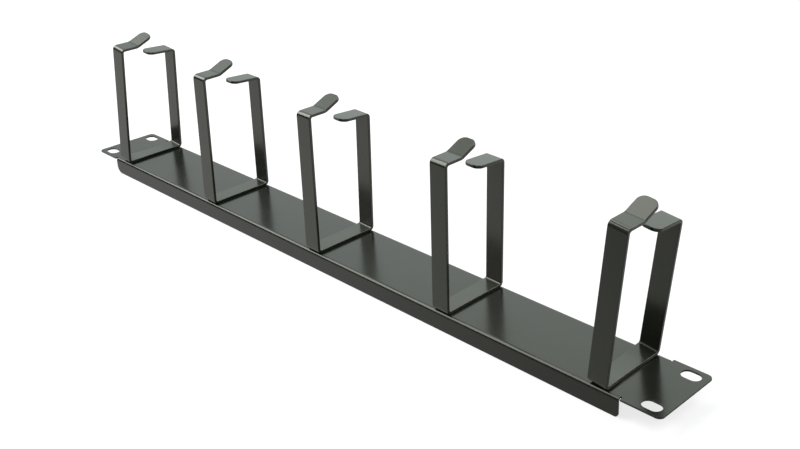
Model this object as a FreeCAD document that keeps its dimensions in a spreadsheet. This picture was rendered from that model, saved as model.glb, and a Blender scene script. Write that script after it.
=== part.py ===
"""Horizontal cable manager for a 19-inch rack: a folded 1U panel with five spot-welded strip rings.

Frame: X runs along the panel, Y across it (the flanged front edge is at -Y), Z up out of the
panel's face. The origin lies in the middle of the panel, at the level of the flanges' lower edges.
Each piece is a PartDesign body whose sketches and features read the spreadsheet "sizes".
"""
import FreeCAD, Part
import math
import os

import Sketcher

Vector = FreeCAD.Vector

# Driving dimensions: alias, value, what it is (millimetres and degrees)
SIZES = [
    ("panel_length", 482.6, "end to end over both ears, 19-inch rack width"),
    ("ear_width", 43.8, "width of an ear, one rack unit less its play"),
    ("ear_length", 23.1, "from a flange's end to the end of the panel"),
    ("flange_setback", 0.2, "a flange's outer face lies this far inside the ear's edge"),
    ("channel_depth", 10.6, "face of the panel down to the flanges' lower edges"),
    ("panel_gauge", 1.0, "thickness of the panel's sheet"),
    ("panel_bend", 1.0, "inner radius of the panel's folds"),
    ("relief_width", 1.0, "bend relief between a flange's end and the ear"),
    ("ear_corner", 3.0, "corner radius of an ear"),
    ("left_flange_corner", 5.0, "corner radius at the lower ends of the flanges, at -X"),
    ("right_flange_corner", 2.0, "the same at +X"),
    ("slot_inset", 8.75, "end of the panel to a slot's middle: slots 465.1 apart"),
    ("slot_pitch", 31.75, "between the two slots of one ear"),
    ("slot_width", 7.0, "takes an M6 rack screw"),
    ("slot_straight", 3.5, "straight part of a slot, between its round ends"),
    ("ring_inset", 35.3, "end of the panel to the middle of the outer ring's base"),
    ("ring_setback", 0.1, "an upright's outer face lies this far inside the flange's"),
    ("front_height", 85.8, "panel face to the top of the front lip"),
    ("rear_height", 75.7, "panel face to the corner of the rear lip's and upright's outer faces"),
    ("strip_width", 11.1, "width of the rings' strip"),
    ("strip_gauge", 1.8, "thickness of the rings' strip"),
    ("strip_bend", 1.0, "inner radius of the rings' right-angle bends"),
    ("front_lip", 12.2, "level part of the front lip, from the upright's outer face"),
    ("ramp_length", 12.6, "rising part of the front lip"),
    ("ramp_angle", 24.0, "rise of that part"),
    ("ramp_bend", 4.0, "inner radius between the level and the rising part"),
    ("rear_lip", 20.5, "rear lip along its top, from the upright's outer face"),
    ("rear_lip_angle", 4.2, "rise of the rear lip towards its free end"),
    ("lip_end_flat", 2.9, "straight part of a lip's free end, between its round corners"),
    ("seat_length", 16.0, "middle of a ring's base, welded flat to the panel"),
    ("foot_run", 1.0, "straight run between the twisted base and the bend"),
    ("weld_pitch", 9.0, "between the two spot welds of a ring"),
    ("weld_mark", 5.5, "diameter of the electrode's mark under the panel"),
    ("weld_sink", 0.15, "depth of that mark"),
    ("front_lean_angle_1", 7.0, "sideways lean of each front upright towards +X, bent in handling"),
    ("front_lean_angle_2", 1.7, ""),
    ("front_lean_angle_3", 0.4, ""),
    ("front_lean_angle_4", 1.1, ""),
    ("front_lean_angle_5", 6.4, ""),
    ("rear_lean_angle_1", 4.7, "the same of each rear upright"),
    ("rear_lean_angle_2", 0.8, ""),
    ("rear_lean_angle_3", 1.8, ""),
    ("rear_lean_angle_4", 1.7, ""),
    ("rear_lean_angle_5", 7.1, ""),
    ("ring_shift_1", -0.5, "how far each ring sits from its even place in the row"),
    ("ring_shift_2", 0.0, ""),
    ("ring_shift_3", 0.7, ""),
    ("ring_shift_4", 1.8, ""),
    ("ring_shift_5", -0.4, ""),
]
RINGS = 5

# Lengths that follow from the driving ones
CHANNEL_LENGTH = "(sizes.panel_length - 2 * sizes.ear_length)"
HALF_CHANNEL = "(sizes.ear_width / 2 - sizes.flange_setback)"
PANEL_FOLD = "(sizes.panel_bend + sizes.panel_gauge)"
SLOT_MIDDLE = "(sizes.panel_length / 2 - sizes.slot_inset)"
HALF_ROW = "(sizes.panel_length / 2 - sizes.ring_inset)"
HALF_RING = f"({HALF_CHANNEL} - sizes.ring_setback)"
FOOT = f"({HALF_RING} - sizes.strip_bend - sizes.strip_gauge - sizes.foot_run)"
HALF_STRIP = "(sizes.strip_width / 2)"
RAMP_ROOT = f"(sizes.front_lip - {HALF_RING})"
RAMP_RUN = "(sizes.ramp_length * cos(sizes.ramp_angle * 1 deg))"
RAMP_RISE = "(sizes.ramp_length * sin(sizes.ramp_angle * 1 deg))"
RAMP_SKIN_RUN = "(sizes.strip_gauge * sin(sizes.ramp_angle * 1 deg))"
RAMP_SKIN_RISE = "(sizes.strip_gauge * cos(sizes.ramp_angle * 1 deg))"
UNDER_ROOT = f"({RAMP_ROOT} + sizes.strip_gauge * tan(sizes.ramp_angle * 0.5 deg))"
REAR_LIP_END = f"({HALF_RING} - sizes.rear_lip * cos(sizes.rear_lip_angle * 1 deg))"
REAR_LIP_TOP = "(sizes.rear_height + sizes.rear_lip * sin(sizes.rear_lip_angle * 1 deg))"
REAR_SKIN_RUN = "(sizes.strip_gauge * sin(sizes.rear_lip_angle * 1 deg))"
REAR_SKIN_DROP = "(sizes.strip_gauge * cos(sizes.rear_lip_angle * 1 deg))"
UNDER_REAR = "(sizes.rear_height - sizes.strip_gauge * tan(45 deg - sizes.rear_lip_angle * 0.5 deg))"

doc = FreeCAD.newDocument("cable_manager")
sheet = doc.addObject("Spreadsheet::Sheet", "sizes")
for row, (alias, number, note) in enumerate(SIZES, start=1):
    sheet.set(f"A{row}", str(number))
    sheet.setAlias(f"A{row}", alias)
    sheet.set(f"B{row}", note)
doc.recompute()


def value(expression):
    """What an expression over the sheet comes to now."""
    return float(sheet.evalExpression(expression))


def new_body(name):
    body = doc.addObject("PartDesign::Body", name)
    body.Label = name
    return body


def plane(body, role):
    return [item for item in body.Origin.OriginFeatures if item.Role == role][0]


def new_sketch(body, name, role, height=None):
    """A sketch on one of the body's origin planes, or at an expression's height above it."""
    sketch = body.newObject("Sketcher::SketchObject", name)
    sketch.AttachmentSupport = [(plane(body, role), "")]
    sketch.MapMode = "FlatFace"
    if height:
        sketch.setExpression("AttachmentOffset.Base.z", height)
    return sketch


def hold(sketch, name, kind, references, expression):
    """Add a dimension to a sketch and bind it to an expression."""
    index = sketch.addConstraint(Sketcher.Constraint(kind, *references, value(expression)))
    sketch.renameConstraint(index, name)
    sketch.setExpression(f"Constraints.{name}", expression)


def outline(sketch, corners):
    """Close a polygon through corners, each a pair of expressions, and hold every corner."""
    places = [Vector(value(across), value(up), 0) for across, up in corners]
    count = len(places)
    for index, place in enumerate(places):
        sketch.addGeometry(Part.LineSegment(place, places[(index + 1) % count]), False)
    for index in range(count):
        sketch.addConstraint(Sketcher.Constraint("Coincident", index, 2, (index + 1) % count, 1))
    for index, (across, up) in enumerate(corners):
        hold(sketch, f"across{index}", "DistanceX", (-1, 1, index, 1), across)
        hold(sketch, f"up{index}", "DistanceY", (-1, 1, index, 1), up)


def pad(body, name, profile, length, symmetric=False, reverse=False):
    feature = body.newObject("PartDesign::Pad", name)
    feature.Profile = profile
    feature.setExpression("Length", length)
    if symmetric:
        feature.SideType = "Symmetric"
    feature.Reversed = reverse
    doc.recompute()
    return feature


def pocket(body, name, profile, depth, reverse=False):
    """Cut a profile out of the body and make sure that it took something away."""
    before = body.Shape.Volume
    feature = body.newObject("PartDesign::Pocket", name)
    feature.Profile = profile
    feature.setExpression("Length", depth)
    feature.Reversed = reverse
    doc.recompute()
    if not feature.Shape.Volume < before:
        raise RuntimeError(f"{name} cuts nothing")
    return feature


def edge_through(shape, place):
    """Name of the edge that passes through a place."""
    vertex = Part.Vertex(place)
    gaps = [edge.distToShape(vertex)[0] for edge in shape.Edges]
    nearest = min(range(len(gaps)), key=gaps.__getitem__)
    if gaps[nearest] > 1e-4:
        raise RuntimeError(f"no edge passes through {place}")
    return f"Edge{nearest + 1}"


def fillet(body, name, radius, places):
    base = body.Tip
    feature = body.newObject("PartDesign::Fillet", name)
    feature.Base = (base, [edge_through(base.Shape, place) for place in places])
    feature.setExpression("Radius", radius)
    doc.recompute()
    return feature


# ---------------------------------------------------------------- panel

def build_panel():
    """One folded sheet: a face, two flanges bent down, and a slotted ear at each end.

    Its sketches have z = 0 on the panel's face.
    """
    body = new_body("front_panel")
    build_channel(body)
    build_ears(body)
    build_weld_marks(body)
    body.setExpression("Placement.Base.z", "sizes.channel_depth")
    return body


def build_channel(body):
    """The long flanged part: a U with rounded folds and rounded ends to its flanges."""
    inside = f"({HALF_CHANNEL} - sizes.panel_gauge)"
    section = new_sketch(body, "channel_section", "YZ_Plane")
    outline(section, [
        (f"-{HALF_CHANNEL}", "-sizes.channel_depth"),
        (f"-{HALF_CHANNEL}", "0"),
        (HALF_CHANNEL, "0"),
        (HALF_CHANNEL, "-sizes.channel_depth"),
        (inside, "-sizes.channel_depth"),
        (inside, "-sizes.panel_gauge"),
        (f"-{inside}", "-sizes.panel_gauge"),
        (f"-{inside}", "-sizes.channel_depth"),
    ])
    pad(body, "channel", section, CHANNEL_LENGTH, symmetric=True)

    outer_y, inner_y = value(HALF_CHANNEL), value(inside)
    under_face = -value("sizes.panel_gauge")
    fillet(body, "folds_outside", PANEL_FOLD, [Vector(0, side * outer_y, 0) for side in (-1, 1)])
    fillet(body, "folds_inside", "sizes.panel_bend",
           [Vector(0, side * inner_y, under_face) for side in (-1, 1)])
    end, mid_flange = value(CHANNEL_LENGTH) / 2, (outer_y + inner_y) / 2
    flange_foot = -value("sizes.channel_depth")
    for word, end_side in (("left", -1), ("right", 1)):
        fillet(body, f"{word}_flange_corners", f"sizes.{word}_flange_corner",
               [Vector(end_side * end, side * mid_flange, flange_foot) for side in (-1, 1)])


def build_ears(body):
    """A flat slotted ear at each end, set off from the flanges by reliefs as deep as the fold."""
    fold_line = f"({HALF_CHANNEL} - {PANEL_FOLD})"
    channel_end = f"({CHANNEL_LENGTH} / 2)"
    root = f"({channel_end} + sizes.relief_width)"
    end = "(sizes.panel_length / 2)"
    edge = "(sizes.ear_width / 2)"
    ear_outline = new_sketch(body, "ear_outline", "XY_Plane")
    outline(ear_outline, [
        (channel_end, f"-{fold_line}"),
        (root, f"-{fold_line}"),
        (root, f"-{edge}"),
        (end, f"-{edge}"),
        (end, edge),
        (root, edge),
        (root, fold_line),
        (channel_end, fold_line),
    ])
    ear = pad(body, "ear", ear_outline, "sizes.panel_gauge", reverse=True)
    mid_sheet = -value("sizes.panel_gauge") / 2
    corners = fillet(body, "ear_corners", "sizes.ear_corner",
                     [Vector(value(end), side * value(edge), mid_sheet) for side in (-1, 1)])
    slots = new_sketch(body, "slot_outlines", "XY_Plane")
    for side in (-1, 1):
        draw_slot(slots, side)
    cut = pocket(body, "slots", slots, "sizes.panel_gauge")

    both = body.newObject("PartDesign::Mirrored", "both_ears")
    both.Originals = [ear, corners, cut]
    both.MirrorPlane = (plane(body, "YZ_Plane"), [""])
    body.Tip = both
    doc.recompute()


def draw_slot(sketch, side):
    """A round-ended slot on side -1 or 1 of the ear's middle line, its long way along X."""
    middle_x, reach = value(SLOT_MIDDLE), value("sizes.slot_straight") / 2
    middle_y, radius = side * value("sizes.slot_pitch") / 2, value("sizes.slot_width") / 2
    outer_end, inner_end, upper, lower = range(sketch.GeometryCount, sketch.GeometryCount + 4)
    for end, start in ((1, -math.pi / 2), (-1, math.pi / 2)):
        circle = Part.Circle(Vector(middle_x + end * reach, middle_y, 0), Vector(0, 0, 1), radius)
        sketch.addGeometry(Part.ArcOfCircle(circle, start, start + math.pi), False)
    for edge in (1, -1):
        ends = [Vector(middle_x + end * reach, middle_y + edge * radius, 0) for end in (-1, 1)]
        sketch.addGeometry(Part.LineSegment(*ends), False)
    for touch in ((outer_end, 2, upper, 2), (inner_end, 1, upper, 1),
                  (inner_end, 2, lower, 1), (outer_end, 1, lower, 2)):
        sketch.addConstraint(Sketcher.Constraint("Tangent", *touch))
    word = "front" if side < 0 else "rear"
    half_straight = "sizes.slot_straight / 2"
    hold(sketch, f"{word}_outer", "DistanceX", (-1, 1, outer_end, 3), f"{SLOT_MIDDLE} + {half_straight}")
    hold(sketch, f"{word}_inner", "DistanceX", (-1, 1, inner_end, 3), f"{SLOT_MIDDLE} - {half_straight}")
    hold(sketch, f"{word}_line", "DistanceY", (-1, 1, outer_end, 3), f"{side} * sizes.slot_pitch / 2")
    hold(sketch, f"{word}_end", "Radius", (outer_end,), "sizes.slot_width / 2")


def build_weld_marks(body):
    """Two shallow electrode marks under each ring, on the underside of the panel's face."""
    marks = new_sketch(body, "weld_marks", "XY_Plane", "-sizes.panel_gauge")
    for index, side in enumerate((-1, 1)):
        centre = Vector(-value(HALF_ROW), side * value("sizes.weld_pitch") / 2, 0)
        marks.addGeometry(Part.Circle(centre, Vector(0, 0, 1), value("sizes.weld_mark") / 2), False)
        hold(marks, f"across{index}", "DistanceX", (-1, 1, index, 3), f"-{HALF_ROW}")
        hold(marks, f"up{index}", "DistanceY", (-1, 1, index, 3), f"{side} * sizes.weld_pitch / 2")
        hold(marks, f"mark{index}", "Diameter", (index,), "sizes.weld_mark")
    doc.recompute()
    pair = pocket(body, "weld_mark_pair", marks, "sizes.weld_sink", reverse=True)
    row_of_pairs = body.newObject("PartDesign::LinearPattern", "weld_mark_row")
    row_of_pairs.Originals = [pair]
    row_of_pairs.Direction = (plane(body, "YZ_Plane"), [""])
    row_of_pairs.Occurrences = RINGS
    row_of_pairs.setExpression("Length", f"2 * {HALF_ROW}")
    body.Tip = row_of_pairs
    doc.recompute()


# ---------------------------------------------------------------- rings

def build_ring(number):
    """One bent strip: a welded base, two uprights and two lips with the mouth between them.

    The base lies flat where it is welded. Towards each bend it twists by the lean of the upright
    there, about the strip's lower +X edge, and that upright and its lip lean as one.
    """
    body = new_body(f"cable_ring_{number}")
    build_base(body, number)
    build_arms(body, number)
    build_bends(body, number)
    along = 2 * (number - 1) / (RINGS - 1) - 1
    body.setExpression("Placement.Base.x", f"{along} * {HALF_ROW} + sizes.ring_shift_{number}")
    body.setExpression("Placement.Base.z", "sizes.channel_depth")
    return body


def lean_of(word, number):
    """The lean of a ring's front or rear upright, as an expression in degrees."""
    return f"(sizes.{word}_lean_angle_{number} * 1 deg)"


def build_base(body, number):
    """The strip on the panel: flat between the welds, twisted towards both feet."""
    gauge = "sizes.strip_gauge"
    flat = [
        (HALF_STRIP, "0"),
        (f"-{HALF_STRIP}", "0"),
        (f"-{HALF_STRIP}", gauge),
        (HALF_STRIP, gauge),
    ]
    seat = new_sketch(body, f"seat_section_{number}", "XZ_Plane")
    outline(seat, flat)
    pad(body, f"seat_{number}", seat, "sizes.seat_length", symmetric=True)
    for word, side in (("front", 1), ("rear", -1)):
        lean = lean_of(word, number)
        far_edge = f"({HALF_STRIP} - sizes.strip_width * cos({lean}))"
        far_rise = f"(sizes.strip_width * sin({lean}))"
        skin_across, skin_up = f"{gauge} * sin({lean})", f"{gauge} * cos({lean})"
        twisted = [
            (HALF_STRIP, "0"),
            (far_edge, far_rise),
            (f"{far_edge} + {skin_across}", f"{far_rise} + {skin_up}"),
            (f"{HALF_STRIP} + {skin_across}", skin_up),
        ]
        seat_end, foot = f"{side / 2} * sizes.seat_length", f"{side} * {FOOT}"
        start = new_sketch(body, f"{word}_twist_start_{number}", "XZ_Plane", seat_end)
        outline(start, flat)
        finish = new_sketch(body, f"{word}_twist_end_{number}", "XZ_Plane", foot)
        outline(finish, twisted)
        twist = body.newObject("PartDesign::AdditiveLoft", f"{word}_twist_{number}")
        twist.Profile = start
        twist.Sections = [finish]
        twist.Ruled = True
        doc.recompute()


def build_arms(body, number):
    """Both uprights with their lips, drawn on the strip's +X side face and padded across it."""
    gauge, front, rear = "sizes.strip_gauge", "sizes.front_height", "sizes.rear_height"
    inner = f"({HALF_RING} - {gauge})"
    front_arm = [
        (f"-{FOOT}", "0"),
        (f"-{HALF_RING}", "0"),
        (f"-{HALF_RING}", front),
        (RAMP_ROOT, front),
        (f"{RAMP_ROOT} + {RAMP_RUN}", f"{front} + {RAMP_RISE}"),
        (f"{RAMP_ROOT} + {RAMP_RUN} + {RAMP_SKIN_RUN}", f"{front} + {RAMP_RISE} - {RAMP_SKIN_RISE}"),
        (UNDER_ROOT, f"{front} - {gauge}"),
        (f"-{inner}", f"{front} - {gauge}"),
        (f"-{inner}", gauge),
        (f"-{FOOT}", gauge),
    ]
    rear_arm = [
        (FOOT, "0"),
        (HALF_RING, "0"),
        (HALF_RING, rear),
        (REAR_LIP_END, REAR_LIP_TOP),
        (f"{REAR_LIP_END} - {REAR_SKIN_RUN}", f"{REAR_LIP_TOP} - {REAR_SKIN_DROP}"),
        (inner, UNDER_REAR),
        (inner, gauge),
        (FOOT, gauge),
    ]
    for word, corners in (("front", front_arm), ("rear", rear_arm)):
        profile = new_sketch(body, f"{word}_arm_profile_{number}", "YZ_Plane", HALF_STRIP)
        # The turn about the base's long edge needs its axis before its angle can be bound
        profile.AttachmentOffset = FreeCAD.Placement(Vector(), FreeCAD.Rotation(Vector(1, 0, 0), 1))
        profile.setExpression("AttachmentOffset.Rotation.Angle", lean_of(word, number))
        outline(profile, corners)
        pad(body, f"{word}_arm_{number}", profile, "sizes.strip_width", reverse=True)


def build_bends(body, number):
    """Turn the sharp corners of a ring into bends and round the free ends of its lips."""
    gauge, width = value("sizes.strip_gauge"), value("sizes.strip_width")
    outer, inner = value(HALF_RING), value(HALF_RING) - gauge
    front, rear = value("sizes.front_height"), value("sizes.rear_height")

    def leaning(word, y, up, across=width / 2):
        """A place in a leaning arm: across from its +X side face, y, and up along the lean."""
        angle = math.radians(value(f"sizes.{word}_lean_angle_{number}"))
        x = width / 2 - across * math.cos(angle) + up * math.sin(angle)
        return Vector(x, y, across * math.sin(angle) + up * math.cos(angle))

    fillet(body, f"outer_bends_{number}", "sizes.strip_bend + sizes.strip_gauge",
           [leaning("front", -outer, 0), leaning("front", -outer, front),
            leaning("rear", outer, 0), leaning("rear", outer, rear)])
    fillet(body, f"inner_bends_{number}", "sizes.strip_bend",
           [leaning("front", -inner, gauge), leaning("front", -inner, front - gauge),
            leaning("rear", inner, gauge), leaning("rear", inner, value(UNDER_REAR))])
    fillet(body, f"ramp_upper_bend_{number}", "sizes.ramp_bend",
           [leaning("front", value(RAMP_ROOT), front)])
    fillet(body, f"ramp_under_bend_{number}", "sizes.ramp_bend + sizes.strip_gauge",
           [leaning("front", value(UNDER_ROOT), front - gauge)])

    tip = ("front", value(f"{RAMP_ROOT} + {RAMP_RUN} + {RAMP_SKIN_RUN} / 2"),
           value(f"sizes.front_height + {RAMP_RISE} - {RAMP_SKIN_RISE} / 2"))
    end = ("rear", value(f"{REAR_LIP_END} - {REAR_SKIN_RUN} / 2"),
           value(f"{REAR_LIP_TOP} - {REAR_SKIN_DROP} / 2"))
    fillet(body, f"lip_corners_{number}", "(sizes.strip_width - sizes.lip_end_flat) / 2",
           [leaning(*place, across) for place in (tip, end) for across in (0, width)])


def check(bodies):
    """Stop if any object failed or any piece isn't one sound solid."""
    for item in doc.Objects:
        if {"Invalid", "Error"} & set(item.State):
            raise RuntimeError(f"{item.Name} failed: {item.State}")
    for body in bodies:
        if body.Shape.isNull() or not body.Shape.isValid() or len(body.Shape.Solids) != 1:
            raise RuntimeError(f"{body.Label} isn't one valid solid")


pieces = [build_panel()] + [build_ring(number) for number in range(1, RINGS + 1)]
doc.recompute()
check(pieces)
os.makedirs("parts", exist_ok=True)
for piece in pieces:
    piece.Shape.exportStep(f"parts/{piece.Label}.step")
    box = piece.Shape.BoundBox
    print(f"{piece.Label}: {piece.Shape.Volume:.1f} mm3, x {box.XMin:.2f} to {box.XMax:.2f}, "
          f"y {box.YMin:.2f} to {box.YMax:.2f}, z {box.ZMin:.2f} to {box.ZMax:.2f}")
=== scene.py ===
"""Looks of a horizontal cable manager for a 19-inch rack: its folded sheet and bent strips as
clean meshes with coated edges, a powder coat, and a studio.

Frame: X runs along the panel, the rings' taller uprights are on the -Y side, and Z points out of
the panel's face. Lengths are metres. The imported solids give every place, and each mesh stands for
one of them.
"""
import math

import bmesh
import bpy
from bpy.props import FloatProperty, FloatVectorProperty, PointerProperty
from mathutils import Matrix, Vector


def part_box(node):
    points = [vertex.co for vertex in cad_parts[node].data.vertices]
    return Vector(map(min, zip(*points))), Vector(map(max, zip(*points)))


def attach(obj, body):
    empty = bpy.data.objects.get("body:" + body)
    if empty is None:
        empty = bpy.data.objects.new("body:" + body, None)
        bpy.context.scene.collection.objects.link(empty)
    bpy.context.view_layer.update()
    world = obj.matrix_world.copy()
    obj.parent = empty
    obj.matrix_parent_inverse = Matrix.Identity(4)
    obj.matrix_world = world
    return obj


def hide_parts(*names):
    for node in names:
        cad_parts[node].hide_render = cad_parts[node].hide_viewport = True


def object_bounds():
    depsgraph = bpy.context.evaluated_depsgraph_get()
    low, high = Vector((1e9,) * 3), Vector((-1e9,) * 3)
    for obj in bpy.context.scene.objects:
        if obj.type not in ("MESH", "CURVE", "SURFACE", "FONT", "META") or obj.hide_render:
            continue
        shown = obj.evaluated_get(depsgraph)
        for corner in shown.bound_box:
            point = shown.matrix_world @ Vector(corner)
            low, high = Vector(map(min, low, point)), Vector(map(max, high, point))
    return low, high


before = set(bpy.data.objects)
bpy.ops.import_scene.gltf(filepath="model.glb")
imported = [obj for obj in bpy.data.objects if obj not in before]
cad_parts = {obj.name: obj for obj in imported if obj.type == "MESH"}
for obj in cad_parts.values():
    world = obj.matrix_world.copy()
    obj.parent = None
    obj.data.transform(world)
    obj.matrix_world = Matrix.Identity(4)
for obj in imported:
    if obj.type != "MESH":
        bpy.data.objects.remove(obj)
cad_low, cad_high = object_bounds()

bl_info = {
    "name": "Cable Manager Looks",
    "version": (1, 0, 0),
    "blender": (4, 5, 0),
    "location": "View3D > Sidebar > Cable Manager",
    "description": "Builds the skins, powder coat and studio of a rack cable manager",
    "category": "Object",
}

PANEL_NODE = "front_panel"
RING_NODES = [f"cable_ring_{number}" for number in range(1, 6)]
_, panel_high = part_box(PANEL_NODE)
_, ring_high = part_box(RING_NODES[2])

MM = 0.001
QUARTER = math.pi / 2

# Facets along each round form.
FOLD_STEPS = 10
CORNER_STEPS = 8
SLOT_END_STEPS = 16
MARK_SIDES = 24
TWIST_STEPS = 6
RAMP_BEND_STEPS = 6
EDGE_STEPS = 3

# Narrow faces that keep the shading of a rounded edge or a bend out of the flat beside it.
RIM_WIDTH = 0.45 * MM
FOLD_EASE = 0.4 * MM
BEND_EASE = 0.3 * MM

# Faint tints of the coat's gloss and of the room's light.
COAT_TINT = (0.97, 1.0, 0.86, 1)
ROOM_TINT = (0.92, 1.0, 0.98, 1)

# The room's strength for diffuse light, and as the eye sees it, where 1 is white.
ROOM_FILL = 0.25
ROOM_TO_EYE = 1.1

# What the gloss sees of the room: a direction, the cosine at which its glow starts, its brightness.
GLOWS = (
    ((-0.35, 0.75, 0.55), 0.55, 1.65),
    ((-0.80, -0.10, 0.60), 0.925, 1.9),
    ((0.62, -0.68, 0.39), 0.30, 1.3),
)

# The floor's grey, and what the eye sees of it: a darker grey that keeps the shadow, and a glow.
FLOOR_GREY = 0.8
FLOOR_GREY_TO_EYE = 0.3
FLOOR_GLOW_TO_EYE = 0.78
FLOOR_REACH = 4

# The floor's painted reflection: a glow that only gloss sees, which falls off this way, from the first
# distance to the second.
PAINTED_REFLECTION_WAY = (0.66, -0.75, 0)
PAINTED_REFLECTION_FALL = (0.02, 0.36)
PAINTED_REFLECTION_LEVELS = (0.76, 0.1)

# Square lamps: a place, the length of a side, and watts.
LAMPS = {
    "key": ((-0.95, -0.56, 1.16), 1.2, 22),
    "top": ((-0.42, 0.28, 1.52), 0.6, 3.2),
    "rim": ((0.70, 0.90, 1.12), 0.8, 9),
}


# ---------------------------------------------------------------- settings

class CoatSettings(bpy.types.PropertyGroup):
    """The semi-gloss black powder coat on every piece."""
    panel_colour: FloatVectorProperty(
        name="Panel colour", description="Coat on the panel", subtype="COLOR",
        size=3, min=0, max=1, default=(0.008, 0.009, 0.007))
    ring_colour: FloatVectorProperty(
        name="Ring colour", description="Coat on the rings", subtype="COLOR",
        size=3, min=0, max=1, default=(0.008, 0.009, 0.006))
    roughness: FloatProperty(
        name="Roughness", description="Mean roughness of the cured coat",
        min=0, max=1, default=0.20)
    panel_reflection: FloatProperty(
        name="Panel reflection", description="Specular level of the coat on the panel",
        min=0, max=1, default=0.5)
    ring_reflection: FloatProperty(
        name="Ring reflection", description="Specular level of the coat on the rings",
        min=0, max=1, default=0.7)
    peel_size: FloatProperty(
        name="Peel size", description="Spacing of the orange-peel waves",
        unit="LENGTH", default=1.6 * MM)
    peel_depth: FloatProperty(
        name="Peel depth", description="Height of the orange-peel waves",
        unit="LENGTH", default=0.004 * MM)


class PanelSettings(bpy.types.PropertyGroup):
    """The folded sheet with its slotted ears."""
    gauge: FloatProperty(
        name="Gauge", description="Thickness of the sheet", unit="LENGTH", default=1.0 * MM)
    bend_radius: FloatProperty(
        name="Bend radius", description="Inner radius of the folds", unit="LENGTH", default=1.0 * MM)
    flange_setback: FloatProperty(
        name="Flange setback", description="A flange's outer face lies this far inside the ear's edge",
        unit="LENGTH", default=0.2 * MM)
    ear_length: FloatProperty(
        name="Ear length", description="From a flange's end to the end of the panel",
        unit="LENGTH", default=23.1 * MM)
    relief_width: FloatProperty(
        name="Relief width", description="Gap between a flange's end and the ear",
        unit="LENGTH", default=1.0 * MM)
    ear_corner: FloatProperty(
        name="Ear corner", description="Corner radius of an ear", unit="LENGTH", default=3.0 * MM)
    flange_corners: FloatVectorProperty(
        name="Flange corners", description="Lower corner radius of the flanges at -X and at +X",
        size=2, unit="LENGTH", default=(5.0 * MM, 2.0 * MM))
    slot_inset: FloatProperty(
        name="Slot inset", description="End of the panel to a slot's middle",
        unit="LENGTH", default=8.75 * MM)
    slot_pitch: FloatProperty(
        name="Slot pitch", description="Between the two slots of one ear",
        unit="LENGTH", default=31.75 * MM)
    slot_width: FloatProperty(
        name="Slot width", description="Takes an M6 rack screw", unit="LENGTH", default=7.0 * MM)
    slot_straight: FloatProperty(
        name="Slot straight", description="Straight part of a slot, between its round ends",
        unit="LENGTH", default=3.5 * MM)
    weld_inset: FloatProperty(
        name="Weld inset", description="End of the panel to the outer ring's spot welds",
        unit="LENGTH", default=35.3 * MM)
    weld_pitch: FloatProperty(
        name="Weld pitch", description="Between the two spot welds of a ring",
        unit="LENGTH", default=9.0 * MM)
    weld_mark: FloatProperty(
        name="Weld mark", description="Diameter of the electrode's mark under the panel",
        unit="LENGTH", default=5.5 * MM)
    weld_sink: FloatProperty(
        name="Weld sink", description="Depth of that mark", unit="LENGTH", default=0.15 * MM)
    weld_slope: FloatProperty(
        name="Weld slope", description="Width of that mark's sloping side",
        unit="LENGTH", default=0.2 * MM)
    edge_radius: FloatProperty(
        name="Edge radius", description="Coated edge of the cut sheet, up to half a mark's sloping side",
        unit="LENGTH", default=0.125 * MM)


class RingSettings(bpy.types.PropertyGroup):
    """The bent strip of one cable ring."""
    strip_width: FloatProperty(
        name="Strip width", description="Width of the strip", unit="LENGTH", default=11.1 * MM)
    strip_gauge: FloatProperty(
        name="Strip gauge", description="Thickness of the strip", unit="LENGTH", default=1.8 * MM)
    bend_radius: FloatProperty(
        name="Bend radius", description="Inner radius of the right-angle bends",
        unit="LENGTH", default=1.0 * MM)
    seat_length: FloatProperty(
        name="Seat length", description="Flat, welded middle of the base",
        unit="LENGTH", default=16.0 * MM)
    foot_run: FloatProperty(
        name="Foot run", description="Straight run between the twisted base and its bend",
        unit="LENGTH", default=1.0 * MM)
    front_height: FloatProperty(
        name="Front height", description="Panel face to the top of the front lip",
        unit="LENGTH", default=85.8 * MM)
    rear_height: FloatProperty(
        name="Rear height", description="Panel face to the outer corner below the rear lip",
        unit="LENGTH", default=75.7 * MM)
    front_lip: FloatProperty(
        name="Front lip", description="Level part of the front lip, from the upright's outer face",
        unit="LENGTH", default=12.2 * MM)
    rear_lip: FloatProperty(
        name="Rear lip", description="Rear lip along its top, from the upright's outer face",
        unit="LENGTH", default=20.5 * MM)
    rear_lip_angle: FloatProperty(
        name="Rear lip angle", description="Rise of the rear lip towards its free end",
        unit="ROTATION", default=math.radians(4.2))
    ramp_length: FloatProperty(
        name="Ramp length", description="Rising part of the front lip",
        unit="LENGTH", default=12.6 * MM)
    ramp_angle: FloatProperty(
        name="Ramp angle", description="Rise of that part", unit="ROTATION",
        default=math.radians(24))
    ramp_bend: FloatProperty(
        name="Ramp bend", description="Inner radius where that part starts to rise",
        unit="LENGTH", default=4.0 * MM)
    lip_corner: FloatProperty(
        name="Lip corner", description="Radius of the corners at a lip's free end",
        unit="LENGTH", default=4.1 * MM)
    edge_radius: FloatProperty(
        name="Edge radius", description="Coated edge of the cut strip",
        unit="LENGTH", default=0.35 * MM)
    front_leans: FloatVectorProperty(
        name="Front leans", description="Sideways lean of each front upright", size=5,
        unit="ROTATION", default=[math.radians(lean) for lean in (7.0, 1.7, 0.4, 1.1, 6.4)])
    rear_leans: FloatVectorProperty(
        name="Rear leans", description="Sideways lean of each rear upright", size=5,
        unit="ROTATION", default=[math.radians(lean) for lean in (4.7, 0.8, 1.8, 1.7, 7.1)])


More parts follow.
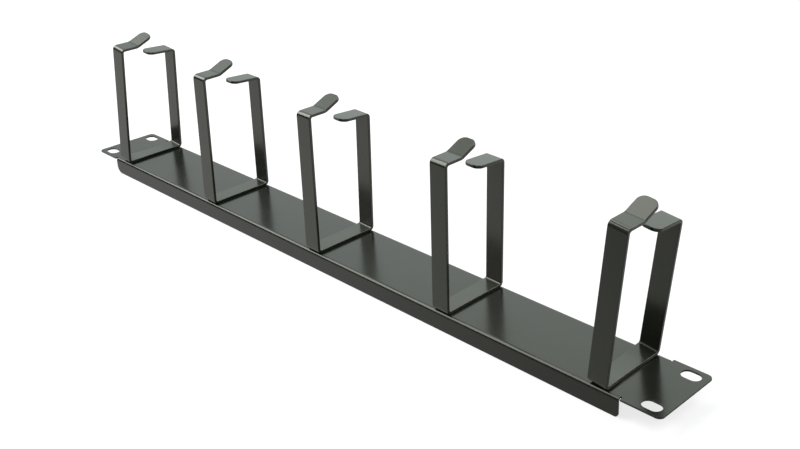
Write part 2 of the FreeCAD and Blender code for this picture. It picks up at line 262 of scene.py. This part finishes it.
class StudioSettings(bpy.types.PropertyGroup):
    """Floor, lights and camera."""
    azimuth: FloatProperty(
        name="Azimuth", description="Camera's bearing from -Y towards +X", unit="ROTATION",
        default=math.radians(44.91))
    elevation: FloatProperty(
        name="Elevation", description="Camera's height above the horizon", unit="ROTATION",
        default=math.radians(20.86))
    roll: FloatProperty(
        name="Roll", description="Camera's turn about its own line of sight", unit="ROTATION",
        default=math.radians(-1.70))
    distance: FloatProperty(
        name="Distance", description="Camera to the point it looks at", unit="LENGTH",
        default=0.77670)
    target: FloatVectorProperty(
        name="Target", description="Point the camera looks at", subtype="XYZ", unit="LENGTH",
        size=3, default=(-0.04647, 0.13863, 0.03060))
    lens: FloatProperty(
        name="Lens", description="Focal length on a 36 mm sensor, in millimetres", default=50.04)
    shift: FloatVectorProperty(
        name="Shift", description="Sideways and upward shift of the lens, in picture widths",
        size=2, default=(-0.0573, -0.1235))


# ---------------------------------------------------------------- helpers

def new_object(name, bm):
    """Turn a finished bmesh into an object at the origin."""
    mesh = bpy.data.meshes.new(name)
    bm.to_mesh(mesh)
    bm.free()
    mesh.shade_smooth()
    piece = bpy.data.objects.new(name, mesh)
    bpy.context.scene.collection.objects.link(piece)
    return piece


def round_edges(piece, radius):
    """Round every edge that turns sharply, and keep the flats flat in the shading.

    The bevel narrows everywhere to what the piece's narrowest face leaves room for.
    """
    bevel = piece.modifiers.new("rounded_edges", "BEVEL")
    bevel.width = radius
    bevel.segments = EDGE_STEPS
    bevel.profile = 0.5
    bevel.limit_method = "ANGLE"
    bevel.angle_limit = math.radians(35)
    bevel.harden_normals = True


def dress(piece, material, node):
    """Coat a piece and let it stand for its solid."""
    piece.data.materials.append(material)
    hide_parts(node)
    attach(piece, "root")


# ---------------------------------------------------------------- powder coat

def node_group(name, inputs, outputs):
    """An empty shader group with its sockets, each given as (name, kind, default)."""
    group = bpy.data.node_groups.new(name, "ShaderNodeTree")
    for label, kind, default in inputs:
        socket = group.interface.new_socket(label, in_out="INPUT", socket_type=kind)
        if default is not None:
            socket.default_value = default
    for label, kind in outputs:
        group.interface.new_socket(label, in_out="OUTPUT", socket_type=kind)
    return group, group.nodes.new("NodeGroupInput"), group.nodes.new("NodeGroupOutput")


def add(tree, kind, **values):
    """Add a node and set its properties."""
    node = tree.nodes.new(kind)
    for name, chosen in values.items():
        setattr(node, name, chosen)
    return node


def peel_group():
    """Orange peel: the gentle waves that powder leaves as it flows and cures."""
    group, given, result = node_group(
        "orange_peel",
        [("Vector", "NodeSocketVector", None), ("Waves per metre", "NodeSocketFloat", 600),
         ("Depth", "NodeSocketFloat", 0.000004)],
        [("Normal", "NodeSocketVector")])
    waves = add(group, "ShaderNodeTexNoise")
    waves.inputs["Detail"].default_value = 2
    waves.inputs["Roughness"].default_value = 0.45
    bump = add(group, "ShaderNodeBump")
    bump.inputs["Strength"].default_value = 1
    link = group.links.new
    link(given.outputs["Vector"], waves.inputs["Vector"])
    link(given.outputs["Waves per metre"], waves.inputs["Scale"])
    link(waves.outputs["Fac"], bump.inputs["Height"])
    link(given.outputs["Depth"], bump.inputs["Distance"])
    link(bump.outputs["Normal"], result.inputs["Normal"])
    return group


def cloud_group():
    """Uneven coat: slow drifts in colour and gloss, with faint handling smears."""
    group, given, result = node_group(
        "uneven_coat",
        [("Vector", "NodeSocketVector", None), ("Colour", "NodeSocketColor", (0.05, 0.05, 0.05, 1)),
         ("Roughness", "NodeSocketFloat", 0.3)],
        [("Colour", "NodeSocketColor"), ("Roughness", "NodeSocketFloat")])
    link = group.links.new
    drift = add(group, "ShaderNodeTexNoise")
    drift.inputs["Scale"].default_value = 28
    drift.inputs["Detail"].default_value = 4
    shade = add(group, "ShaderNodeMapRange")
    shade.inputs["To Min"].default_value = 0.88
    shade.inputs["To Max"].default_value = 1.12
    tint = add(group, "ShaderNodeVectorMath", operation="SCALE")
    smear = add(group, "ShaderNodeTexNoise")
    smear.inputs["Scale"].default_value = 95
    smear.inputs["Detail"].default_value = 5
    spread = add(group, "ShaderNodeMapRange")
    spread.inputs["From Min"].default_value = 0.3
    spread.inputs["From Max"].default_value = 0.7
    spread.inputs["To Min"].default_value = 0.93
    spread.inputs["To Max"].default_value = 1.08
    gloss = add(group, "ShaderNodeMath", operation="MULTIPLY")
    link(given.outputs["Vector"], drift.inputs["Vector"])
    link(given.outputs["Vector"], smear.inputs["Vector"])
    link(drift.outputs["Fac"], shade.inputs["Value"])
    link(given.outputs["Colour"], tint.inputs[0])
    link(shade.outputs["Result"], tint.inputs["Scale"])
    link(tint.outputs["Vector"], result.inputs["Colour"])
    link(smear.outputs["Fac"], spread.inputs["Value"])
    link(given.outputs["Roughness"], gloss.inputs[0])
    link(spread.outputs["Result"], gloss.inputs[1])
    link(gloss.outputs["Value"], result.inputs["Roughness"])
    return group


def powder_coat(name, colour, reflection, coat):
    """Semi-gloss powder coat of one colour."""
    material = bpy.data.materials.new(name)
    material.use_nodes = True
    tree = material.node_tree
    shader = tree.nodes["Principled BSDF"]
    place = add(tree, "ShaderNodeTexCoord")
    peel = add(tree, "ShaderNodeGroup", node_tree=bpy.data.node_groups["orange_peel"])
    cloud = add(tree, "ShaderNodeGroup", node_tree=bpy.data.node_groups["uneven_coat"])
    shader.inputs["Specular IOR Level"].default_value = reflection
    shader.inputs["Specular Tint"].default_value = COAT_TINT
    peel.inputs["Waves per metre"].default_value = 1 / coat.peel_size
    peel.inputs["Depth"].default_value = coat.peel_depth
    cloud.inputs["Colour"].default_value = (*colour, 1)
    cloud.inputs["Roughness"].default_value = coat.roughness
    link = tree.links.new
    link(place.outputs["Object"], peel.inputs["Vector"])
    link(place.outputs["Object"], cloud.inputs["Vector"])
    link(cloud.outputs["Colour"], shader.inputs["Base Color"])
    link(cloud.outputs["Roughness"], shader.inputs["Roughness"])
    link(peel.outputs["Normal"], shader.inputs["Normal"])
    return material


class CABLE_OT_coats(bpy.types.Operator):
    """Make the powder coats and the groups that they share"""
    bl_idname = "cable.coats"
    bl_label = "Powder Coats"

    def execute(self, context):
        coat = context.scene.cable_coat
        peel_group()
        cloud_group()
        powder_coat("coat_on_panel", coat.panel_colour, coat.panel_reflection, coat)
        powder_coat("coat_on_rings", coat.ring_colour, coat.ring_reflection, coat)
        return {"FINISHED"}


# ---------------------------------------------------------------- panel

def arc(middle_x, middle_y, radius, start, steps, sweep=QUARTER):
    """Points on an arc, its first at the angle start, in steps to start + sweep."""
    angles = [start + sweep * step / steps for step in range(steps + 1)]
    return [(middle_x + radius * math.cos(angle), middle_y + radius * math.sin(angle))
            for angle in angles]


def loop(bm, points, height):
    """A closed loop of edges through points of the plan."""
    verts = [bm.verts.new((x, y, height)) for x, y in points]
    return [bm.edges.new((vert, verts[index - 1])) for index, vert in enumerate(verts)]


def fold_line_of(panel):
    """From the panel's middle line out to where a fold starts."""
    return panel_high.y - panel.flange_setback - panel.bend_radius - panel.gauge


def channel_end_of(panel):
    """From the panel's middle to a flange's end."""
    return panel_high.x - panel.ear_length


def panel_plan(panel):
    """Outline of the panel's flat face and both ears, as points in order."""
    fold_line, channel_end = fold_line_of(panel), channel_end_of(panel)
    root = channel_end + panel.relief_width
    end, edge, corner = panel_high.x, panel_high.y, panel.ear_corner
    right = [(channel_end, -fold_line), (root, -fold_line), (root, -edge)]
    right += arc(end - corner, corner - edge, corner, -QUARTER, CORNER_STEPS)
    right += arc(end - corner, edge - corner, corner, 0, CORNER_STEPS)
    right += [(root, edge), (root, fold_line), (channel_end, fold_line)]
    left = [(-x, -y) for x, y in right]
    return right + left


def slot_plan(panel, side_x, side_y):
    """Outline of one slot, as points in order."""
    middle_x = side_x * (panel_high.x - panel.slot_inset)
    middle_y = side_y * panel.slot_pitch / 2
    half, radius = panel.slot_straight / 2, panel.slot_width / 2
    return (arc(middle_x + half, middle_y, radius, -QUARTER, SLOT_END_STEPS, math.pi)
            + arc(middle_x - half, middle_y, radius, QUARTER, SLOT_END_STEPS, math.pi))


def weld_plans(panel):
    """Outlines of the electrodes' marks, two in a row across the panel at each ring."""
    reach = panel_high.x - panel.weld_inset
    last = len(RING_NODES) - 1
    return [arc(reach * (2 * number / last - 1), side * panel.weld_pitch / 2,
                panel.weld_mark / 2, 0, MARK_SIDES, 2 * math.pi)[:-1]
            for number in range(last + 1) for side in (-1, 1)]


def fold_flanges(bm, panel):
    """Bend both long edges of the face down and round the flanges' lower corners."""
    fold = panel.bend_radius + panel.gauge
    fold_line, fold_foot = fold_line_of(panel), panel_high.z - fold
    channel_length = 2 * channel_end_of(panel)
    long_edges = [edge for edge in bm.edges
                  if edge.is_boundary and edge.calc_length() > 0.99 * channel_length]
    for edge in long_edges:
        side = math.copysign(1, edge.verts[0].co.y)
        last = bmesh.ops.spin(bm, geom=[edge, *edge.verts], angle=QUARTER, steps=FOLD_STEPS,
                              cent=(0, side * fold_line, fold_foot), axis=(-side, 0, 0))
        rim = [item for item in last["geom_last"] if isinstance(item, bmesh.types.BMEdge)]
        for drop in (FOLD_EASE, fold_foot - FOLD_EASE):
            made = bmesh.ops.extrude_edge_only(bm, edges=rim)["geom"]
            rim = [item for item in made if isinstance(item, bmesh.types.BMEdge)]
            bmesh.ops.translate(bm, verts=rim[0].verts, vec=(0, 0, -drop))
        for corner in list(rim[0].verts):
            radius = panel.flange_corners[0 if corner.co.x < 0 else 1]
            bmesh.ops.bevel(bm, geom=[corner], offset=radius, offset_type="OFFSET",
                            affect="VERTICES", segments=CORNER_STEPS, profile=0.5, material=-1)


def sink_weld_marks(bm, panel):
    """Press the electrodes' round marks into the underside."""
    mid_sheet = panel_high.z - panel.gauge / 2
    marks = [face for face in bm.faces
             if len(face.verts) == MARK_SIDES and face.calc_center_median().z < mid_sheet]
    for face in marks:
        bmesh.ops.inset_region(bm, faces=[face], thickness=panel.weld_slope)
        bmesh.ops.translate(bm, verts=face.verts, vec=(0, 0, panel.weld_sink))


def build_panel(panel, material):
    """Fill the plan, fold the flanges down, give the sheet its gauge and press the weld marks."""
    bm = bmesh.new()
    top = panel_high.z
    edges = loop(bm, panel_plan(panel), top)
    for side_x in (-1, 1):
        for side_y in (-1, 1):
            edges += loop(bm, slot_plan(panel, side_x, side_y), top)
    marks = [loop(bm, points, top) for points in weld_plans(panel)]
    bmesh.ops.triangle_fill(bm, edges=edges + [edge for mark in marks for edge in mark],
                            use_beauty=True)
    for mark in marks:
        bmesh.ops.contextual_create(bm, geom=mark)
    bmesh.ops.recalc_face_normals(bm, faces=bm.faces)
    bmesh.ops.inset_region(bm, faces=bm.faces, thickness=RIM_WIDTH, use_boundary=True,
                           use_even_offset=True)
    fold_flanges(bm, panel)
    bmesh.ops.recalc_face_normals(bm, faces=bm.faces)
    bmesh.ops.solidify(bm, geom=bm.faces, thickness=panel.gauge)
    sink_weld_marks(bm, panel)
    bmesh.ops.recalc_face_normals(bm, faces=bm.faces)
    piece = new_object("panel", bm)
    round_edges(piece, panel.edge_radius)
    dress(piece, material, PANEL_NODE)


class CABLE_OT_panel(bpy.types.Operator):
    """Make the folded panel with its slotted ears"""
    bl_idname = "cable.panel"
    bl_label = "Panel"

    def execute(self, context):
        build_panel(context.scene.cable_panel, bpy.data.materials["coat_on_panel"])
        return {"FINISHED"}


# ---------------------------------------------------------------- rings

def push(bm, face, way):
    """Extrude a face and move the new end by a vector; its edges go along so none stays inside."""
    made = bmesh.ops.extrude_face_region(bm, geom=[face, *face.edges, *face.verts])["geom"]
    end = [item for item in made if isinstance(item, bmesh.types.BMFace)][0]
    bmesh.ops.translate(bm, verts=end.verts, vec=way)
    return end


def run(bm, face, way):
    """Push a face in three steps, so that a bend's shading stays out of the flat between them."""
    ease = way.normalized() * BEND_EASE
    for part in (ease, way - 2 * ease, ease):
        face = push(bm, face, part)
    return face


def run_out(bm, face, way):
    """Push a face to a free end: a short step next to the bend, then the rest in one."""
    ease = way.normalized() * BEND_EASE
    return push(bm, push(bm, face, ease), way - ease)


def turn(bm, face, centre, axis, angle, steps=FOLD_STEPS):
    """Bend a face round an axis and return the new end."""
    geometry = [face, *face.edges, *face.verts]
    last = bmesh.ops.spin(bm, geom=geometry, cent=centre, axis=axis, angle=angle, steps=steps)
    return [item for item in last["geom_last"] if isinstance(item, bmesh.types.BMFace)][0]


def build_arm(bm, end, side, lean, ring):
    """From the seat's end: twist, foot, upright, top bend and lip, on side -1 (front) or 1 (rear)."""
    out = Vector((0, side, 0))
    up = Vector((math.sin(lean), 0, math.cos(lean)))
    corner = Vector((ring.strip_width / 2, 0, 0))
    gauge, radius = ring.strip_gauge, ring.bend_radius
    half_ring = ring_high.y
    fold = radius + gauge
    twist_run = half_ring - fold - ring.foot_run - ring.seat_length / 2
    for _ in range(TWIST_STEPS):
        end = push(bm, end, out * twist_run / TWIST_STEPS)
        bmesh.ops.rotate(bm, verts=end.verts, cent=corner,
                         matrix=Matrix.Rotation(lean / TWIST_STEPS, 3, "Y"))
    end = push(bm, end, out * ring.foot_run)
    axis = out.cross(up)
    end = turn(bm, end, corner + out * (half_ring - fold) + up * fold, axis, QUARTER)
    height = ring.front_height if side < 0 else ring.rear_height
    rise = 0 if side < 0 else ring.rear_lip_angle
    setback = fold * math.tan((QUARTER - rise) / 2)
    end = run(bm, end, up * (height - setback - fold))
    centre = corner + out * (half_ring - fold) + up * (height - setback)
    end = turn(bm, end, centre, axis, QUARTER - rise)
    if side > 0:
        lip = Matrix.Rotation(QUARTER - rise, 3, axis) @ up
        return run_out(bm, end, lip * (ring.rear_lip - setback))
    tangent = ring.ramp_bend * math.tan(ring.ramp_angle / 2)
    level = ring.front_lip - fold - tangent
    end = run(bm, end, -out * level)
    start = corner + out * (half_ring - fold - level) + up * (height + ring.ramp_bend)
    end = turn(bm, end, start, axis, -ring.ramp_angle, RAMP_BEND_STEPS)
    rising = Matrix.Rotation(-ring.ramp_angle, 3, axis) @ -out
    return run_out(bm, end, rising * (ring.ramp_length - tangent))


def end_corners(face, gauge):
    """The two short edges of a strip's free end."""
    return [edge for edge in face.edges if edge.calc_length() < 1.01 * gauge]


def build_ring(number, ring, material):
    """One ring: its seat on the panel, then an arm to the front and one to the rear."""
    leans = {-1: ring.front_leans[number], 1: ring.rear_leans[number]}
    bm = bmesh.new()
    bmesh.ops.create_cube(bm, size=1)
    bmesh.ops.scale(bm, verts=bm.verts, vec=(ring.strip_width, ring.seat_length, ring.strip_gauge))
    bmesh.ops.translate(bm, verts=bm.verts, vec=(0, 0, ring.strip_gauge / 2))
    bm.normal_update()
    ends = {side: [face for face in bm.faces if face.normal.y * side > 0.9][0] for side in (-1, 1)}
    lips = [build_arm(bm, ends[side], side, leans[side], ring) for side in (-1, 1)]
    corners = [edge for lip in lips for edge in end_corners(lip, ring.strip_gauge)]
    bmesh.ops.bevel(bm, geom=corners, offset=ring.lip_corner, offset_type="OFFSET",
                    affect="EDGES", segments=CORNER_STEPS, profile=0.5, material=-1)
    low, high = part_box(RING_NODES[number])
    middle = Vector((low.x + ring.strip_width / 2, (low.y + high.y) / 2, low.z))
    bmesh.ops.translate(bm, verts=bm.verts, vec=middle)
    bmesh.ops.recalc_face_normals(bm, faces=bm.faces)
    piece = new_object(f"ring_{number + 1}", bm)
    round_edges(piece, ring.edge_radius)
    dress(piece, material, RING_NODES[number])


class CABLE_OT_rings(bpy.types.Operator):
    """Make the five bent strip rings"""
    bl_idname = "cable.rings"
    bl_label = "Cable Rings"

    def execute(self, context):
        for number in range(len(RING_NODES)):
            build_ring(number, context.scene.cable_ring, bpy.data.materials["coat_on_rings"])
        return {"FINISHED"}


# ---------------------------------------------------------------- studio

def glow_toward(tree, direction, way, start, brightness):
    """A soft glow of the world that grows from nothing at the cosine start to its middle."""
    toward = add(tree, "ShaderNodeVectorMath", operation="DOT_PRODUCT")
    toward.inputs[1].default_value = Vector(way).normalized()
    sweep = add(tree, "ShaderNodeMapRange")
    sweep.inputs["From Min"].default_value = start
    sweep.inputs["To Max"].default_value = brightness
    tree.links.new(direction.outputs["Generated"], toward.inputs[0])
    tree.links.new(toward.outputs["Value"], sweep.inputs["Value"])
    return sweep.outputs["Result"]


def white_room(scene):
    """The world: white to the eye, a plain fill to the coat, and soft glows in its gloss."""
    world = bpy.data.worlds.new("white_room")
    scene.world = world
    world.use_nodes = True
    tree = world.node_tree
    link = tree.links.new
    background = tree.nodes["Background"]
    background.inputs["Color"].default_value = ROOM_TINT
    rays = add(tree, "ShaderNodeLightPath")
    direction = add(tree, "ShaderNodeTexCoord")
    glow = glow_toward(tree, direction, *GLOWS[0])
    for another in GLOWS[1:]:
        both = add(tree, "ShaderNodeMath", operation="ADD")
        link(glow, both.inputs[0])
        link(glow_toward(tree, direction, *another), both.inputs[1])
        glow = both.outputs["Value"]
    in_gloss = add(tree, "ShaderNodeMix")
    in_gloss.inputs["A"].default_value = ROOM_FILL
    seen = add(tree, "ShaderNodeMath", operation="MAXIMUM")
    strength = add(tree, "ShaderNodeMix")
    strength.inputs["B"].default_value = ROOM_TO_EYE
    link(rays.outputs["Is Glossy Ray"], in_gloss.inputs["Factor"])
    link(glow, in_gloss.inputs["B"])
    link(rays.outputs["Is Camera Ray"], seen.inputs[0])
    link(rays.outputs["Is Transmission Ray"], seen.inputs[1])
    link(seen.outputs["Value"], strength.inputs["Factor"])
    link(in_gloss.outputs["Result"], strength.inputs["A"])
    link(strength.outputs["Result"], background.inputs["Strength"])


def pale_floor():
    """White to the eye with a faint shadow; in gloss a black sheet with a painted reflection, a glow
    that falls off one way.
    """
    material = bpy.data.materials.new("pale_floor")
    material.use_nodes = True
    tree = material.node_tree
    shader = tree.nodes["Principled BSDF"]
    shader.inputs["Roughness"].default_value = 0.9
    shader.inputs["Emission Color"].default_value = (1, 1, 1, 1)
    rays = add(tree, "ShaderNodeLightPath")
    place = add(tree, "ShaderNodeTexCoord")
    toward = add(tree, "ShaderNodeVectorMath", operation="DOT_PRODUCT")
    toward.inputs[1].default_value = PAINTED_REFLECTION_WAY
    # Painted reflection: the floor glows in gloss only, from one level to the other as it lies further
    # along that way.
    painted_reflection_glow = add(tree, "ShaderNodeMapRange")
    painted_reflection_glow.inputs["From Min"].default_value, painted_reflection_glow.inputs["From Max"].default_value = PAINTED_REFLECTION_FALL
    painted_reflection_glow.inputs["To Min"].default_value, painted_reflection_glow.inputs["To Max"].default_value = PAINTED_REFLECTION_LEVELS
    to_eye = add(tree, "ShaderNodeMix", data_type="RGBA")
    to_eye.inputs["A"].default_value = (*[FLOOR_GREY] * 3, 1)
    to_eye.inputs["B"].default_value = (*[FLOOR_GREY_TO_EYE] * 3, 1)
    colour = add(tree, "ShaderNodeMix", data_type="RGBA")
    colour.inputs["B"].default_value = (0, 0, 0, 1)
    in_gloss = add(tree, "ShaderNodeMath", operation="MULTIPLY")
    glow = add(tree, "ShaderNodeMath", operation="MULTIPLY_ADD")
    glow.inputs[1].default_value = FLOOR_GLOW_TO_EYE
    link = tree.links.new
    link(place.outputs["Object"], toward.inputs[0])
    link(toward.outputs["Value"], painted_reflection_glow.inputs["Value"])
    link(rays.outputs["Is Camera Ray"], to_eye.inputs["Factor"])
    link(to_eye.outputs["Result"], colour.inputs["A"])
    link(rays.outputs["Is Glossy Ray"], colour.inputs["Factor"])
    link(colour.outputs["Result"], shader.inputs["Base Color"])
    link(rays.outputs["Is Glossy Ray"], in_gloss.inputs[0])
    link(painted_reflection_glow.outputs["Result"], in_gloss.inputs[1])
    link(rays.outputs["Is Camera Ray"], glow.inputs[0])
    link(in_gloss.outputs["Value"], glow.inputs[2])
    link(glow.outputs["Value"], shader.inputs["Emission Strength"])
    return material


def floor():
    """A wide floor that the flanges stand on."""
    bm = bmesh.new()
    bmesh.ops.create_grid(bm, x_segments=1, y_segments=1, size=FLOOR_REACH)
    piece = new_object("floor", bm)
    piece.data.materials.append(pale_floor())


def softbox(name, place, aim, size, power):
    """A square area lamp that looks at a point."""
    lamp = bpy.data.lights.new(name, "AREA")
    lamp.shape = "SQUARE"
    lamp.size = size
    lamp.energy = power
    holder = bpy.data.objects.new(name, lamp)
    bpy.context.scene.collection.objects.link(holder)
    holder.location = place
    holder.rotation_euler = (Vector(aim) - Vector(place)).to_track_quat("-Z", "Y").to_euler()


def camera(studio):
    """The camera on its bearing, rolled about its own line of sight."""
    lens = bpy.data.cameras.new("camera")
    lens.lens = studio.lens
    lens.sensor_width = 36
    lens.shift_x, lens.shift_y = studio.shift
    lens.clip_start, lens.clip_end = 0.01, 20
    holder = bpy.data.objects.new("camera", lens)
    bpy.context.scene.collection.objects.link(holder)
    flat = math.cos(studio.elevation)
    back = Vector((math.sin(studio.azimuth) * flat, -math.cos(studio.azimuth) * flat,
                   math.sin(studio.elevation)))
    level = (-back).to_track_quat("-Z", "Y").to_matrix()
    rolled = Matrix.Rotation(studio.roll, 3, back) @ level
    holder.matrix_world = Matrix.LocRotScale(Vector(studio.target) + back * studio.distance,
                                             rolled.to_quaternion(), None)
    bpy.context.scene.camera = holder


class CABLE_OT_studio(bpy.types.Operator):
    """Make the floor, the lights and the camera"""
    bl_idname = "cable.studio"
    bl_label = "Studio"

    def execute(self, context):
        scene = context.scene
        scene.view_settings.view_transform = "Standard"
        white_room(scene)
        floor()
        middle = (cad_low + cad_high) / 2
        for name, (place, size, power) in LAMPS.items():
            softbox(name, place, middle, size, power)
        camera(scene.cable_studio)
        return {"FINISHED"}


# ---------------------------------------------------------------- add-on

class CABLE_PT_sidebar(bpy.types.Panel):
    """Buttons and sizes in the 3D view's sidebar"""
    bl_idname = "CABLE_PT_sidebar"
    bl_label = "Cable Manager"
    bl_space_type = "VIEW_3D"
    bl_region_type = "UI"
    bl_category = "Cable Manager"

    def draw(self, context):
        for operator in OPERATORS:
            self.layout.operator(operator.bl_idname)
        scene = context.scene
        for group in (scene.cable_coat, scene.cable_panel, scene.cable_ring, scene.cable_studio):
            box = self.layout.box()
            for name in group.__annotations__:
                box.prop(group, name)


OPERATORS = (CABLE_OT_coats, CABLE_OT_panel, CABLE_OT_rings, CABLE_OT_studio)
CLASSES = (CoatSettings, PanelSettings, RingSettings, StudioSettings, *OPERATORS, CABLE_PT_sidebar)


def register():
    """Register the classes and hang their settings on the scene."""
    for item in CLASSES:
        bpy.utils.register_class(item)
    bpy.types.Scene.cable_coat = PointerProperty(type=CoatSettings)
    bpy.types.Scene.cable_panel = PointerProperty(type=PanelSettings)
    bpy.types.Scene.cable_ring = PointerProperty(type=RingSettings)
    bpy.types.Scene.cable_studio = PointerProperty(type=StudioSettings)


def unregister():
    """Take back what register did."""
    del bpy.types.Scene.cable_studio
    del bpy.types.Scene.cable_ring
    del bpy.types.Scene.cable_panel
    del bpy.types.Scene.cable_coat
    for item in reversed(CLASSES):
        bpy.utils.unregister_class(item)


def main():
    """Build the coats, the pieces and the studio."""
    register()
    bpy.ops.cable.coats()
    bpy.ops.cable.panel()
    bpy.ops.cable.rings()
    bpy.ops.cable.studio()


if __name__ == "__main__":
    main()
